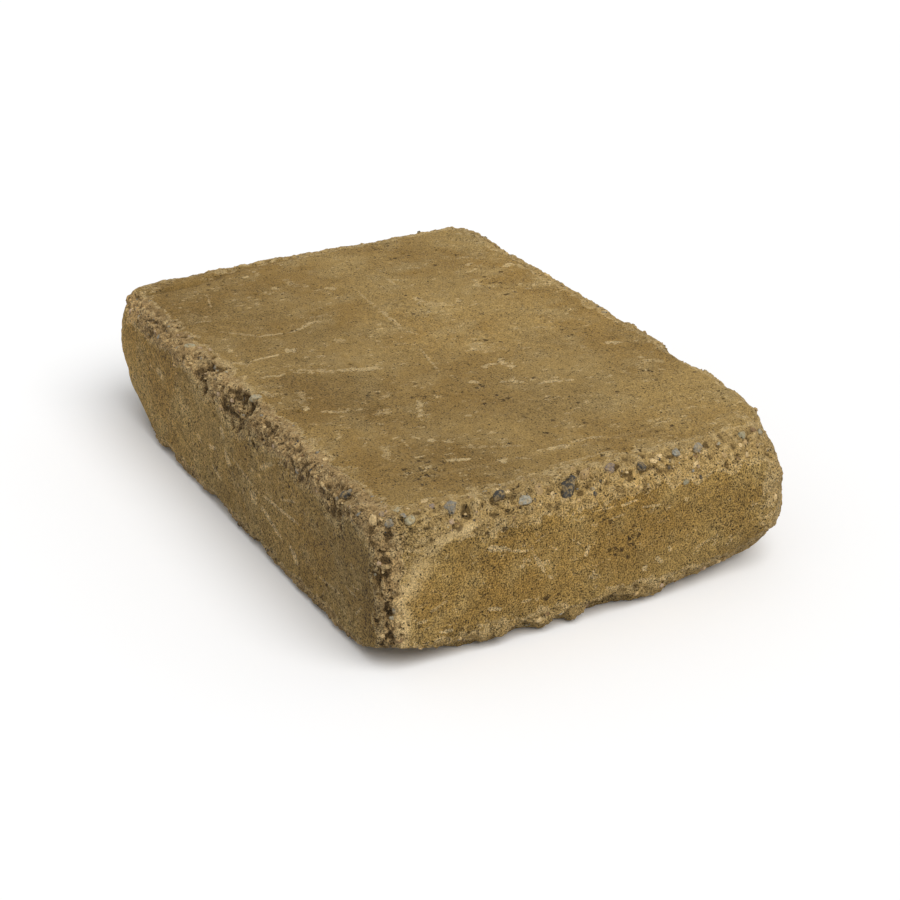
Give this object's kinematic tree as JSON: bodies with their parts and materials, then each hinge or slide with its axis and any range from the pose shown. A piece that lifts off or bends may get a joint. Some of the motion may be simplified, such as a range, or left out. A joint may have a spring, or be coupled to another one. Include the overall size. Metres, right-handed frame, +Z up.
{
  "type": "wall coping stone",
  "caption": "Tumbled concrete wall coping: a flat rectangular block with worn, spalled arrises that caps a garden wall or pier",
  "frame": {"origin": "middle of the bed face, which the stone lies on", "axes": "+X along the length towards the right end, +Y along the width towards the back, +Z up out of the top face"},
  "size_m": [0.3, 0.2, 0.065],
  "materials": {
    "concrete": "matt ochre cast concrete with a tumbled, sandy surface and exposed aggregate at the arrises"
  },
  "bodies": {
    "root": {"coping_stone": "concrete"}
  },
  "joints": []
}
